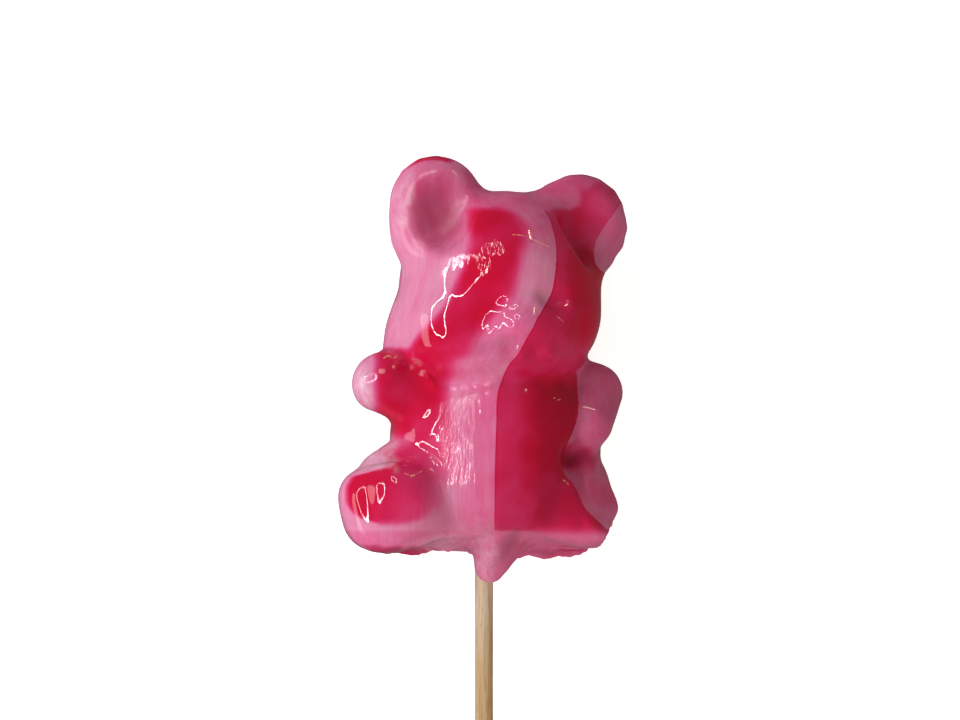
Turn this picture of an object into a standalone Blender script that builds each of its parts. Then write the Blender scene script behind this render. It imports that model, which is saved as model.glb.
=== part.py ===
"""Bear lollipop: a seated teddy bear moulded in boiled sugar on a round bamboo stick.

The sweet was poured into a two-part mould whose halves meet in a plane that
holds the stick, so the front half is deep (face, belly, paws) and the back
half is shallow and round.  The lollipop lies on its back: +Z is the front of
the bear, +Y its head and -Y the free end of the stick, X = 0 is the axis of
the stick and Z = 0 the surface it lies on.  The origin is on the small flat
spot on the back.  Two pieces: the sugar bear and the stick.
"""
import bpy
import bmesh
import numpy as np
from math import cos, pi, radians, sin
from mathutils import Matrix, Vector

MM = 0.001

# ------------------------------------------------------------ driving sizes, mm
SEAM_HEIGHT = 9.8        # mould's parting plane above the surface the bear lies on
SEAT_TO_ORIGIN = 16.0    # from the underside of the seated bear up to the origin
STICK_DIAMETER = 3.0
STICK_LENGTH = 150.0
STICK_IN_CANDY = 45.0    # how far the stick runs up into the bear
STICK_EDGE = 0.25        # worn edge at the stick's ends
FIT_GAP = 0.3            # clearance between the stick and its bore
BODY_LEAN = -2.5         # degrees, the bear leans a little to its left
HEAD_LEAN = -6.0         # degrees, and its head a little more
SEED_VOXEL = 0.6         # grain of the first fused shape
CANDY_TRIANGLES = 8200   # of the finished sugar solid, before it is bored

# Blend radii: how softly one form runs into the next
SOFT, MEDIUM, TIGHT = 4.0, 2.4, 1.6

# Every lobe below is in the bear's own frame, in mm: x to the right, y up from
# the seat, z forward from the parting plane.
#            centre                radii             lean
CRANIUM = ((2.8, 42.5, -1.0), (16.3, 14.6, 9.4))
FOREHEAD = ((3.2, 43.8, 3.0), (12.8, 13.6, 11.8))
NAPE = ((3.0, 43.3, -3.0), (14.0, 13.4, 8.4))
CHEEKS = (((-5.3, 35.8, 3.0), (9.1, 8.6, 8.6)),
          ((9.3, 37.2, 3.5), (7.8, 8.2, 8.8)))
JAW = ((0.6, 31.8, 4.8), (11.5, 5.5, 9.0))
MUZZLE = ((4.2, 36.1, 10.8), (7.1, 5.8, 5.4))
NOSE = ((3.3, 35.9, 14.6), (3.0, 2.1, 1.7))
EYES = (((-4.7, 41.0, 15.2), (3.4, 1.6, 1.9)),
        ((8.5, 40.8, 15.2), (3.2, 1.6, 1.9)))
MOUTH = (((-0.5, 33.2, 16.3), (1.8, 1.3, 1.3)),
         ((-3.9, 32.7, 14.9), (1.5, 1.2, 1.3)))
#        disc centre, radii, bowl centre, bowl radii, splay, roll
EARS = (((-8.0, 56.2, 0.3), (7.6, 7.8, 4.8), (-9.2, 55.3, 7.2), (4.6, 6.2, 3.6), -14, 8),
        ((16.3, 53.4, 0.0), (8.5, 8.1, 4.8), (16.3, 53.0, 7.2), (5.5, 6.4, 4.1), 12, -10))
EAR_BLEND = (2.4, 4.5)
EAR_ROOT = ((-9.4, 51.8, 0.2), (6.1, 6.5, 4.8))
NECK_FILL = ((-12.3, 35.6, -2.0), (3.5, 6.0, 4.5))
NECK_BLEND = 1.8
TORSO = ((2.0, 15.3, -0.6), (17.2, 15.2, 9.6))
BELLY = ((1.9, 15.9, 2.6), (13.6, 13.8, 11.2))
#        the belly is flattened towards one side: a point there and the way it faces
BELLY_FLANK = ((-6.4, 17.0, 10.9), (-0.54, 0.16, 0.826))
BACK = ((2.4, 15.9, -3.0), (14.0, 15.0, 7.6))
SEAT = ((-0.3, 5.4, 0.0), (18.0, 4.9, 8.5))
SEAT_ROUND = 4.0
SHOULDERS = ((0.7, 28.1, 0.6), (17.5, 7.5, 6.9))
SHOULDERS_BACK = 8.5
#        from                  to                  radii
ARMS = (((-17.0, 27.3, 2.2), (-10.8, 23.2, 3.0), (5.1, 3.9)),
        ((18.0, 25.6, 2.0), (15.6, 20.9, 6.5), (4.9, 4.2)))
ARM_BLEND = (2.6, 1.9)
#        centre, radii, squareness of outline and of depth, roll, blend
FEET = (((-17.5, 7.7, 6.0), (7.2, 7.0, 7.0), 2.6, 3.6, 12, 3.4),
        ((14.2, 6.9, 5.4), (7.5, 6.1, 7.2), 2.6, 2.4, -14, 2.0))
#        flats on the two feet: a point on the flat, the way it faces, how soft its edge
SOLE = ((-21.0, 7.7, 10.6), (-0.569, 0.174, 0.803), 3.0)
FLANK = ((11.8, 10.2, 11.9), (0.63, 0.40, 0.665), 0.7)
#        underside of the seat, from the seam up to the front edge of the belly
UNDERSIDE = ((0.0, 0.0, 0.0), (0.0, -0.947, 0.322))
#        sugar fills the corner between one foot and the belly
CROTCH = ((-11.2, 6.0, 5.0), (4.6, 5.0, 5.2))
THIGHS = (((-16.4, 12.5, 1.5), (-13.2, 10.4, 3.2), (4.4, 5.2)),
          ((17.5, 10.9, 1.0), (11.7, 8.2, 4.0), (3.4, 5.0)))
LAP_HOLLOW = ((13.4, 15.4, 12.6), (2.6, 2.0, 4.4))
#        sugar run down the stick, and how it leaves the edge of the belly
SPRUE = ((1.9, 1.0, 3.6), (0.3, -2.9, 2.8), (3.3, 1.95))
SPRUE_ROOT = ((0.8, 1.6, 7.0), (0.3, -1.6, 3.8), (1.2, 1.5))
#        fins of sugar squeezed out along the seam under the seat
FLASH = (((11.0, 0.2, -0.2), (8.2, 1.6, 0.8)),
         ((-13.4, 0.9, -0.4), (6.0, 1.35, 0.7)))
#        the outer corner of one foot is broken off: a point on the break, the way
#        it faces, and splinters out of it
BREAK = ((19.9, 2.9, 3.0), (0.84, -0.50, 0.225))
CHIPS = (((20.9, 2.5, 4.0), (1.9, 1.0, 3.4)),
         ((22.4, 4.0, 0.0), (1.4, 0.9, 3.0)))


# ------------------------------------------------------------ form of the sweet
def turned(roll=0.0, splay=0.0):
    """Axes of a lobe that is rolled in the plane of the bear and splayed sideways."""
    a, b = radians(roll), radians(splay)
    rz = np.array([[cos(a), -sin(a), 0.0], [sin(a), cos(a), 0.0], [0.0, 0.0, 1.0]])
    ry = np.array([[cos(b), 0.0, sin(b)], [0.0, 1.0, 0.0], [-sin(b), 0.0, cos(b)]])
    return rz @ ry


def local(p, centre, roll=0.0, splay=0.0):
    return (p - np.asarray(centre, float)) @ turned(roll, splay)


def ellipsoid(p, centre, radii, roll=0.0, splay=0.0, back=None):
    """Egg form; `back` is its depth behind its centre where that differs."""
    q = local(p, centre, roll, splay)
    rr = np.empty_like(q)
    rr[:, 0], rr[:, 1] = radii[0], radii[1]
    rr[:, 2] = radii[2] if back is None else np.where(q[:, 2] > 0, radii[2], back)
    s = q / rr
    k0 = np.sqrt((s * s).sum(1)) + 1e-9
    k1 = np.sqrt(((s / rr) ** 2).sum(1)) + 1e-9
    return k0 * (k0 - 1.0) / k1


def pillow(p, centre, radii, square=2.5, crown=3.0, roll=0.0):
    """Cushion form: `square` fills its outline out to the corners, `crown` its depth."""
    q = np.abs(local(p, centre, roll)) / np.asarray(radii, float)
    s = ((q[:, 0] ** square + q[:, 1] ** square) ** (crown / square)
         + q[:, 2] ** crown + 1e-12) ** (1.0 / crown)
    reach = np.linalg.norm(p - np.asarray(centre, float), axis=1) + 1e-9
    return 0.9 * reach * (1.0 - 1.0 / np.maximum(s, 1e-3))


def barrel(p, centre, radii, square=3.4, section=2.2, roll=0.0):
    """Barrel form standing on its end, with shoulders squared along its height."""
    q = np.abs(local(p, centre, roll)) / np.asarray(radii, float)
    s = ((q[:, 0] ** section + q[:, 2] ** section) ** (square / section)
         + q[:, 1] ** square + 1e-12) ** (1.0 / square)
    reach = np.linalg.norm(p - np.asarray(centre, float), axis=1) + 1e-9
    return 0.9 * reach * (1.0 - 1.0 / np.maximum(s, 1e-3))


def block(p, centre, half, rounding, roll=0.0):
    q = np.abs(local(p, centre, roll)) - (np.asarray(half, float) - rounding)
    out = np.maximum(q, 0.0)
    return np.sqrt((out * out).sum(1)) + np.minimum(q.max(1), 0.0) - rounding


def limb(p, start, end, radii):
    a, b = np.asarray(start, float), np.asarray(end, float)
    t = np.clip(((p - a) @ (b - a)) / ((b - a) @ (b - a)), 0.0, 1.0)
    off = np.linalg.norm(p - (a + t[:, None] * (b - a)), axis=1)
    return off - (radii[0] + (radii[1] - radii[0]) * t)


def beyond(p, point, facing):
    """Everything in front of a plane."""
    return -((p - np.asarray(point, float)) @ np.asarray(facing, float))


def join(a, b, blend):
    h = np.maximum(blend - np.abs(a - b), 0.0) / blend
    return np.minimum(a, b) - h * h * blend * 0.25


def carve(a, tool, blend):
    return -join(-a, tool, blend)


def head_form(p):
    d = pillow(p, *CRANIUM, 2.5, 3.0, HEAD_LEAN)
    d = join(d, ellipsoid(p, *FOREHEAD, HEAD_LEAN - 0.5), 5.0)
    d = join(d, ellipsoid(p, *NAPE, HEAD_LEAN - 0.5), 3.0)
    for cheek in CHEEKS:
        d = join(d, ellipsoid(p, *cheek, -4.0), SOFT)
    d = join(d, ellipsoid(p, *JAW, HEAD_LEAN), SOFT)
    d = join(d, ellipsoid(p, *MUZZLE, HEAD_LEAN), 2.6)
    d = join(d, ellipsoid(p, *NOSE, HEAD_LEAN), 2.2)
    for eye in EYES:
        d = carve(d, ellipsoid(p, *eye, HEAD_LEAN), 1.8)
    for dent in MOUTH:
        d = carve(d, ellipsoid(p, *dent), TIGHT)
    d = join(d, ellipsoid(p, *EAR_ROOT), MEDIUM)
    for (centre, radii, bowl, bowl_radii, splay, roll), blend in zip(EARS, EAR_BLEND):
        d = join(d, ellipsoid(p, centre, radii, roll, splay), blend)
    for centre, radii, bowl, bowl_radii, splay, roll in EARS:
        d = carve(d, ellipsoid(p, bowl, bowl_radii, roll, splay), MEDIUM)
    return d


def body_form(p):
    b = pillow(p, *TORSO, 3.6, 3.0, BODY_LEAN)
    b = join(b, barrel(p, *BELLY, 3.4, 2.2, BODY_LEAN), SOFT)
    b = carve(b, beyond(p, *BELLY_FLANK), 3.0)
    b = join(b, ellipsoid(p, *BACK, BODY_LEAN), 3.0)
    b = join(b, block(p, *SEAT, SEAT_ROUND, -0.5), 3.0)
    b = join(b, ellipsoid(p, *CROTCH), 2.0)
    b = join(b, ellipsoid(p, *SHOULDERS, -1.0, 0.0, SHOULDERS_BACK), SOFT)
    b = carve(b, beyond(p, *UNDERSIDE), 0.9)
    for arm, blend in zip(ARMS, ARM_BLEND):
        b = join(b, limb(p, *arm), blend)
    for foot, thigh, (point, facing, edge) in zip(FEET, THIGHS, (SOLE, FLANK)):
        centre, radii, square, crown, roll, blend = foot
        leg = join(pillow(p, centre, radii, square, crown, roll), limb(p, *thigh), 2.0)
        b = join(b, carve(leg, beyond(p, point, facing), edge), blend)
    return carve(b, ellipsoid(p, *LAP_HOLLOW, 0.0, 25.0), 3.0)


def sugar(p):
    """Signed distance, in mm, from the surface of the sweet (negative inside)."""
    d = join(head_form(p), body_form(p), NECK_BLEND)
    d = join(d, ellipsoid(p, *NECK_FILL, -20.0), 3.0)
    # what the mould left
    for fin in FLASH:
        d = join(d, ellipsoid(p, *fin), 0.8)
    d = carve(d, beyond(p, *BREAK), 0.5)
    for chip in CHIPS:
        d = carve(d, ellipsoid(p, *chip), 0.5)
    d = join(d, limb(p, *SPRUE), 4.2)
    return join(d, limb(p, *SPRUE_ROOT), 3.5)


def settle(verts, steps=6, reach=0.6):
    """Move points along the slope of the form until they lie on its surface."""
    p = verts.copy()
    e = 0.02
    for _ in range(steps):
        f = sugar(p)
        g = np.stack([sugar(p + e * axis) - sugar(p - e * axis) for axis in np.eye(3)], 1) / (2 * e)
        step = f / np.maximum((g * g).sum(1), 0.05)
        p -= np.clip(step, -reach, reach)[:, None] * g
    return p


# ------------------------------------------------------------ modelling helpers
def to_object(p):
    """From the bear's own frame in mm to the lollipop's frame in metres."""
    return (np.asarray(p, float) + (0.0, -SEAT_TO_ORIGIN, SEAM_HEIGHT)) * MM


def to_bear(p):
    return np.asarray(p, float) / MM - (0.0, -SEAT_TO_ORIGIN, SEAM_HEIGHT)


def material(name, rgb, roughness, coat=0.0):
    m = bpy.data.materials.new(name)
    m.use_nodes = True
    b = m.node_tree.nodes["Principled BSDF"]
    b.inputs["Base Color"].default_value = (*rgb, 1.0)
    b.inputs["Roughness"].default_value = roughness
    b.inputs["Metallic"].default_value = 0.0
    b.inputs["Coat Weight"].default_value = coat
    m.diffuse_color = (*rgb, 1.0)
    return m


def collection(name):
    c = bpy.data.collections.new(name)
    bpy.context.scene.collection.children.link(c)
    return c


def seed_ball(bm, centre, radii, roll=0.0, splay=0.0):
    turn = Matrix([list(row) for row in turned(roll, splay)]).to_4x4()
    size = Matrix.Diagonal((radii[0] * MM, radii[1] * MM, radii[2] * MM, 1.0))
    place = Matrix.Translation(Vector(to_object(centre)))
    bmesh.ops.create_icosphere(bm, subdivisions=3, radius=1.0, matrix=place @ turn @ size)


def seed_limb(bm, start, end, radii, balls=5):
    for i in range(balls):
        t = i / (balls - 1)
        c = [a + (b - a) * t for a, b in zip(start, end)]
        r = radii[0] + (radii[1] - radii[0]) * t
        seed_ball(bm, c, (r, r, r))


def evaluated(obj):
    bpy.context.view_layer.update()
    return bpy.data.meshes.new_from_object(obj.evaluated_get(bpy.context.evaluated_depsgraph_get()))


def swap_mesh(obj, mesh):
    old = obj.data
    obj.modifiers.clear()
    obj.data = mesh
    bpy.data.meshes.remove(old)


def settle_mesh(mesh, steps, reach=0.6):
    n = len(mesh.vertices)
    co = np.empty(n * 3)
    mesh.vertices.foreach_get("co", co)
    p = settle(to_bear(co.reshape(n, 3)), steps, reach)
    mesh.vertices.foreach_set("co", to_object(p).ravel())
    mesh.update()


# ------------------------------------------------------------ the model
for old in list(bpy.data.objects):
    bpy.data.objects.remove(old, do_unlink=True)

parts = collection("bear_lollipop")
tools = collection("cutters")
candy_finish = material("boiled_sugar", (0.72, 0.13, 0.30), 0.12, coat=0.6)
stick_finish = material("bamboo", (0.72, 0.52, 0.32), 0.6)

# The bear: one ball for every lobe, fused, then drawn onto the blended form
bm = bmesh.new()
for centre, radii in (CRANIUM, FOREHEAD, NAPE, *CHEEKS, JAW, MUZZLE, NOSE):
    seed_ball(bm, centre, radii, HEAD_LEAN)
for centre, radii, bowl, bowl_radii, splay, roll in EARS:
    seed_ball(bm, centre, radii, roll, splay)
for centre, radii in (TORSO, BELLY, BACK, SEAT, SHOULDERS):
    seed_ball(bm, centre, radii, BODY_LEAN)
for centre, radii in (EAR_ROOT, CROTCH):
    seed_ball(bm, centre, radii)
seed_ball(bm, *NECK_FILL, -20.0)
for start, end, radii in (*ARMS, *THIGHS, SPRUE, SPRUE_ROOT):
    seed_limb(bm, start, end, radii)
for centre, radii, square, crown, roll, blend in FEET:
    seed_ball(bm, centre, radii, roll)
for centre, radii in FLASH:
    seed_ball(bm, centre, radii)
seeds = bpy.data.meshes.new("candy_bear")
bm.to_mesh(seeds)
bm.free()
candy = bpy.data.objects.new("candy_bear", seeds)
parts.objects.link(candy)

for voxel in (1.2, SEED_VOXEL):
    fuse = candy.modifiers.new("fuse", "REMESH")
    fuse.mode = "VOXEL"
    fuse.voxel_size = voxel * MM
    swap_mesh(candy, evaluated(candy))
    settle_mesh(candy.data, 8)

thin = candy.modifiers.new("thin_out", "DECIMATE")
thin.ratio = CANDY_TRIANGLES / (2.0 * len(candy.data.polygons))
swap_mesh(candy, evaluated(candy))
settle_mesh(candy.data, 2, 0.1)
candy.data.shade_smooth()
candy.data.materials.append(candy_finish)

# A shallow slice off the back of head and body gives the flat the bear lies on
bpy.ops.mesh.primitive_cube_add(size=1.0, location=(0.0, 0.010, -0.005))
ground = bpy.context.active_object
ground.name = "cutter_ground"
ground.scale = (0.09, 0.12, 0.010)
# and a blind bore from below takes the stick
bore_length = STICK_IN_CANDY + FIT_GAP + 20.0
bpy.ops.mesh.primitive_cylinder_add(
    vertices=24, radius=(STICK_DIAMETER / 2 + FIT_GAP) * MM, depth=bore_length * MM,
    location=to_object((0.0, STICK_IN_CANDY + FIT_GAP - bore_length / 2, 0.0)),
    rotation=(pi / 2, 0.0, 0.0))
bore = bpy.context.active_object
bore.name = "cutter_bore"
for cutter in (ground, bore):
    for c in list(cutter.users_collection):
        c.objects.unlink(cutter)
    tools.objects.link(cutter)
    cutter.hide_render = True
    cutter.display_type = "WIRE"
    cut = candy.modifiers.new(cutter.name, "BOOLEAN")
    cut.operation = "DIFFERENCE"
    cut.solver = "EXACT"
    cut.object = cutter

# The stick: a plain round rod, its edges worn
bpy.ops.mesh.primitive_cylinder_add(
    vertices=24, radius=STICK_DIAMETER / 2 * MM, depth=STICK_LENGTH * MM,
    location=to_object((0.0, STICK_IN_CANDY - STICK_LENGTH / 2, 0.0)),
    rotation=(pi / 2, 0.0, 0.0))
stick = bpy.context.active_object
stick.name = "stick"
stick.data.name = "stick"
for c in list(stick.users_collection):
    c.objects.unlink(stick)
parts.objects.link(stick)
worn = stick.modifiers.new("worn_ends", "BEVEL")
worn.width = STICK_EDGE * MM
worn.segments = 1
worn.limit_method = "ANGLE"
worn.angle_limit = radians(60)
stick.data.shade_smooth()
stick.data.set_sharp_from_angle(angle=radians(40))
stick.data.materials.append(stick_finish)
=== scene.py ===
"""Looks of the bear lollipop: marbled boiled sugar on a bamboo stick, lying on its back."""
from math import atan, cos, degrees, exp, pi, radians, sin, sqrt, tan

import bmesh
import bpy
import numpy as np
from mathutils import Matrix, Vector


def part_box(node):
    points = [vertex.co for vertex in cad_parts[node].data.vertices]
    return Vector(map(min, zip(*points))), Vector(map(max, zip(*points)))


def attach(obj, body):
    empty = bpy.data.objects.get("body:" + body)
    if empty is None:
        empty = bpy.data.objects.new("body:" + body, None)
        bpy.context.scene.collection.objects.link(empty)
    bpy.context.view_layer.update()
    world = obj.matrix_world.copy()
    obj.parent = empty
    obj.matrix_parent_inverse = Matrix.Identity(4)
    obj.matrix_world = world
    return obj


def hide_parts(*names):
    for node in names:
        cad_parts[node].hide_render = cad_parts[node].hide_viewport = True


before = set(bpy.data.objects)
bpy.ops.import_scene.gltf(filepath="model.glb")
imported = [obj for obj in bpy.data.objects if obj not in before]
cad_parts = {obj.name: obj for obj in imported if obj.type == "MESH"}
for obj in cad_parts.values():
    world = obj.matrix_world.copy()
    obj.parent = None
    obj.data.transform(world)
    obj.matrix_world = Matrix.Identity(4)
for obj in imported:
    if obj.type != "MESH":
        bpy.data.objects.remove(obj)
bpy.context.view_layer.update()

MM = 0.001

# ---------------------------------------------------------------- frame sizes
# The bear's own frame, in mm: x to the right, y up from the seat, z forward
# from the parting plane of the mould, which holds the stick's axis.
stick_lo, stick_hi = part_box("stick")
SEAM_HEIGHT = (stick_lo.z + stick_hi.z) / 2 / MM      # of the stick's axis over the floor
STICK_RADIUS = (stick_hi.x - stick_lo.x) / 2 / MM
SEAT_TO_ORIGIN = 16.0
STICK_FREE_END = stick_lo.y / MM + SEAT_TO_ORIGIN
STICK_TOP = stick_hi.y / MM + SEAT_TO_ORIGIN

BODY_LEAN = -2.5
HEAD_LEAN = -6.0
VOXEL = 0.3              # grain of the finished sugar surface
SOFT, MEDIUM, TIGHT = 4.0, 2.4, 1.6

# ---------------------------------------------------------------- lobes of the sweet
CRANIUM = ((2.8, 42.5, -1.0), (16.3, 14.6, 9.4))
FOREHEAD = ((3.2, 43.8, 3.0), (12.8, 13.6, 11.8))
NAPE = ((3.0, 43.3, -3.0), (14.0, 13.4, 8.4))
CHEEKS = (((-5.3, 35.8, 3.0), (9.1, 8.6, 8.6)),
          ((9.3, 37.2, 3.5), (7.8, 8.2, 8.8)))
JAW = ((0.6, 31.8, 4.8), (11.5, 5.5, 9.0))
MUZZLE = ((4.2, 36.1, 10.8), (7.1, 5.8, 5.4))
NOSE = ((3.3, 35.9, 14.6), (3.0, 2.1, 1.7))
EYES = (((-4.7, 41.0, 15.2), (3.4, 1.6, 1.9)),
        ((8.5, 40.8, 15.2), (3.2, 1.6, 1.9)))
MOUTH = (((-0.5, 33.2, 16.3), (1.8, 1.3, 1.3)),
         ((-3.9, 32.7, 14.9), (1.5, 1.2, 1.3)))
#        disc centre, radii, bowl centre, bowl radii, splay, roll
EARS = (((-8.0, 56.2, 0.3), (7.6, 7.8, 4.8), (-9.2, 55.3, 7.2), (4.6, 6.2, 3.6), -14, 8),
        ((16.3, 53.4, 0.0), (8.5, 8.1, 4.8), (16.3, 53.0, 7.2), (5.5, 6.4, 4.1), 12, -10))
EAR_BLEND = (2.4, 4.5)
EAR_ROOT = ((-9.4, 51.8, 0.2), (6.1, 6.5, 4.8))
NECK_FILL = ((-12.3, 35.6, -2.0), (3.5, 6.0, 4.5))
NECK_BLEND = 1.8
TORSO = ((2.0, 15.3, -0.6), (17.2, 15.2, 9.6))
BELLY = ((1.9, 15.9, 2.6), (13.6, 13.8, 11.2))
#        the belly is flattened towards one side: a point there and the way it faces
BELLY_FLANK = ((-6.4, 17.0, 10.9), (-0.54, 0.16, 0.826))
BACK = ((2.4, 15.9, -3.0), (14.0, 15.0, 7.6))
SEAT = ((-0.3, 5.4, 0.0), (18.0, 4.9, 8.5))
SEAT_ROUND = 4.0
SHOULDERS = ((0.7, 28.1, 0.6), (17.5, 7.5, 6.9))
SHOULDERS_BACK = 8.5
#        from                  to                  radii
ARMS = (((-17.0, 27.3, 2.2), (-10.8, 23.2, 3.0), (5.1, 3.9)),
        ((18.0, 25.6, 2.0), (15.6, 20.9, 6.5), (4.9, 4.2)))
ARM_BLEND = (2.6, 1.9)
#        centre, radii, squareness of outline and of depth, roll, blend
FEET = (((-17.5, 7.7, 6.0), (7.2, 7.0, 7.0), 2.6, 3.6, 12, 3.4),
        ((14.2, 6.9, 5.4), (7.5, 6.1, 7.2), 2.6, 2.4, -14, 2.0))
#        flats on the two feet: a point on the flat, the way it faces, how soft its edge
SOLE = ((-21.0, 7.7, 10.6), (-0.569, 0.174, 0.803), 3.0)
FLANK = ((11.8, 10.2, 11.9), (0.63, 0.40, 0.665), 0.7)
#        underside of the seat, from the seam up to the front edge of the belly
UNDERSIDE = ((0.0, 0.0, 0.0), (0.0, -0.947, 0.322))
#        sugar fills the corner between one foot and the belly
CROTCH = ((-11.2, 6.0, 5.0), (4.6, 5.0, 5.2))
THIGHS = (((-16.4, 12.5, 1.5), (-13.2, 10.4, 3.2), (4.4, 5.2)),
          ((17.5, 10.9, 1.0), (11.7, 8.2, 4.0), (3.4, 5.0)))
LAP_HOLLOW = ((13.4, 15.4, 12.6), (2.6, 2.0, 4.4))
#        sugar run down the stick, and how it leaves the edge of the belly
SPRUE = ((1.9, 1.0, 3.6), (0.3, -2.9, 2.8), (3.3, 1.95))
SPRUE_ROOT = ((0.8, 1.6, 7.0), (0.3, -1.6, 3.8), (1.2, 1.5))
#        fins of sugar squeezed out along the seam under the seat
FLASH = (((11.0, 0.2, -0.2), (8.2, 1.6, 0.8)),
         ((-13.4, 0.9, -0.4), (6.0, 1.35, 0.7)))
#        the outer corner of one foot is broken off: a point on the break, the way
#        it faces, and splinters out of it
BREAK = ((19.9, 2.9, 3.0), (0.84, -0.50, 0.225))
CHIPS = (((20.9, 2.5, 4.0), (1.9, 1.0, 3.4)),
         ((22.4, 4.0, 0.0), (1.4, 0.9, 3.0)))


# ---------------------------------------------------------------- form
def turned(roll=0.0, splay=0.0):
    """Axes of a lobe that is rolled in the plane of the bear and splayed sideways."""
    a, b = radians(roll), radians(splay)
    rz = np.array([[cos(a), -sin(a), 0.0], [sin(a), cos(a), 0.0], [0.0, 0.0, 1.0]])
    ry = np.array([[cos(b), 0.0, sin(b)], [0.0, 1.0, 0.0], [-sin(b), 0.0, cos(b)]])
    return rz @ ry


def local(p, centre, roll=0.0, splay=0.0):
    return (p - np.asarray(centre, float)) @ turned(roll, splay)


def ellipsoid(p, centre, radii, roll=0.0, splay=0.0, back=None):
    """Egg form; `back` is its depth behind its centre where that differs."""
    q = local(p, centre, roll, splay)
    rr = np.empty_like(q)
    rr[:, 0], rr[:, 1] = radii[0], radii[1]
    rr[:, 2] = radii[2] if back is None else np.where(q[:, 2] > 0, radii[2], back)
    s = q / rr
    k0 = np.sqrt((s * s).sum(1)) + 1e-9
    k1 = np.sqrt(((s / rr) ** 2).sum(1)) + 1e-9
    return k0 * (k0 - 1.0) / k1


def pillow(p, centre, radii, square=2.5, crown=3.0, roll=0.0):
    """Cushion form: `square` fills its outline out to the corners, `crown` its depth."""
    q = np.abs(local(p, centre, roll)) / np.asarray(radii, float)
    s = ((q[:, 0] ** square + q[:, 1] ** square) ** (crown / square)
         + q[:, 2] ** crown + 1e-12) ** (1.0 / crown)
    reach = np.linalg.norm(p - np.asarray(centre, float), axis=1) + 1e-9
    return 0.9 * reach * (1.0 - 1.0 / np.maximum(s, 1e-3))


def barrel(p, centre, radii, square=3.4, section=2.2, roll=0.0):
    """Barrel form standing on its end, with shoulders squared along its height."""
    q = np.abs(local(p, centre, roll)) / np.asarray(radii, float)
    s = ((q[:, 0] ** section + q[:, 2] ** section) ** (square / section)
         + q[:, 1] ** square + 1e-12) ** (1.0 / square)
    reach = np.linalg.norm(p - np.asarray(centre, float), axis=1) + 1e-9
    return 0.9 * reach * (1.0 - 1.0 / np.maximum(s, 1e-3))


def block(p, centre, half, rounding, roll=0.0):
    q = np.abs(local(p, centre, roll)) - (np.asarray(half, float) - rounding)
    out = np.maximum(q, 0.0)
    return np.sqrt((out * out).sum(1)) + np.minimum(q.max(1), 0.0) - rounding


def limb(p, start, end, radii):
    a, b = np.asarray(start, float), np.asarray(end, float)
    t = np.clip(((p - a) @ (b - a)) / ((b - a) @ (b - a)), 0.0, 1.0)
    off = np.linalg.norm(p - (a + t[:, None] * (b - a)), axis=1)
    return off - (radii[0] + (radii[1] - radii[0]) * t)


def beyond(p, point, facing):
    """Everything in front of a plane."""
    return -((p - np.asarray(point, float)) @ np.asarray(facing, float))


def join(a, b, blend):
    h = np.maximum(blend - np.abs(a - b), 0.0) / blend
    return np.minimum(a, b) - h * h * blend * 0.25


def carve(a, tool, blend):
    return -join(-a, tool, blend)


def head_form(p):
    d = pillow(p, *CRANIUM, 2.5, 3.0, HEAD_LEAN)
    d = join(d, ellipsoid(p, *FOREHEAD, HEAD_LEAN - 0.5), 5.0)
    d = join(d, ellipsoid(p, *NAPE, HEAD_LEAN - 0.5), 3.0)
    for cheek in CHEEKS:
        d = join(d, ellipsoid(p, *cheek, -4.0), SOFT)
    d = join(d, ellipsoid(p, *JAW, HEAD_LEAN), SOFT)
    d = join(d, ellipsoid(p, *MUZZLE, HEAD_LEAN), 2.6)
    d = join(d, ellipsoid(p, *NOSE, HEAD_LEAN), 2.2)
    for eye in EYES:
        d = carve(d, ellipsoid(p, *eye, HEAD_LEAN), 1.8)
    for dent in MOUTH:
        d = carve(d, ellipsoid(p, *dent), TIGHT)
    d = join(d, ellipsoid(p, *EAR_ROOT), MEDIUM)
    for (centre, radii, bowl, bowl_radii, splay, roll), blend in zip(EARS, EAR_BLEND):
        d = join(d, ellipsoid(p, centre, radii, roll, splay), blend)
    for centre, radii, bowl, bowl_radii, splay, roll in EARS:
        d = carve(d, ellipsoid(p, bowl, bowl_radii, roll, splay), MEDIUM)
    return d


def body_form(p):
    b = pillow(p, *TORSO, 3.6, 3.0, BODY_LEAN)
    b = join(b, barrel(p, *BELLY, 3.4, 2.2, BODY_LEAN), SOFT)
    b = carve(b, beyond(p, *BELLY_FLANK), 3.0)
    b = join(b, ellipsoid(p, *BACK, BODY_LEAN), 3.0)
    b = join(b, block(p, *SEAT, SEAT_ROUND, -0.5), 3.0)
    b = join(b, ellipsoid(p, *CROTCH), 2.0)
    b = join(b, ellipsoid(p, *SHOULDERS, -1.0, 0.0, SHOULDERS_BACK), SOFT)
    b = carve(b, beyond(p, *UNDERSIDE), 0.9)
    for arm, blend in zip(ARMS, ARM_BLEND):
        b = join(b, limb(p, *arm), blend)
    for foot, thigh, (point, facing, edge) in zip(FEET, THIGHS, (SOLE, FLANK)):
        centre, radii, square, crown, roll, blend = foot
        leg = join(pillow(p, centre, radii, square, crown, roll), limb(p, *thigh), 2.0)
        b = join(b, carve(leg, beyond(p, point, facing), edge), blend)
    return carve(b, ellipsoid(p, *LAP_HOLLOW, 0.0, 25.0), 3.0)


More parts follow.
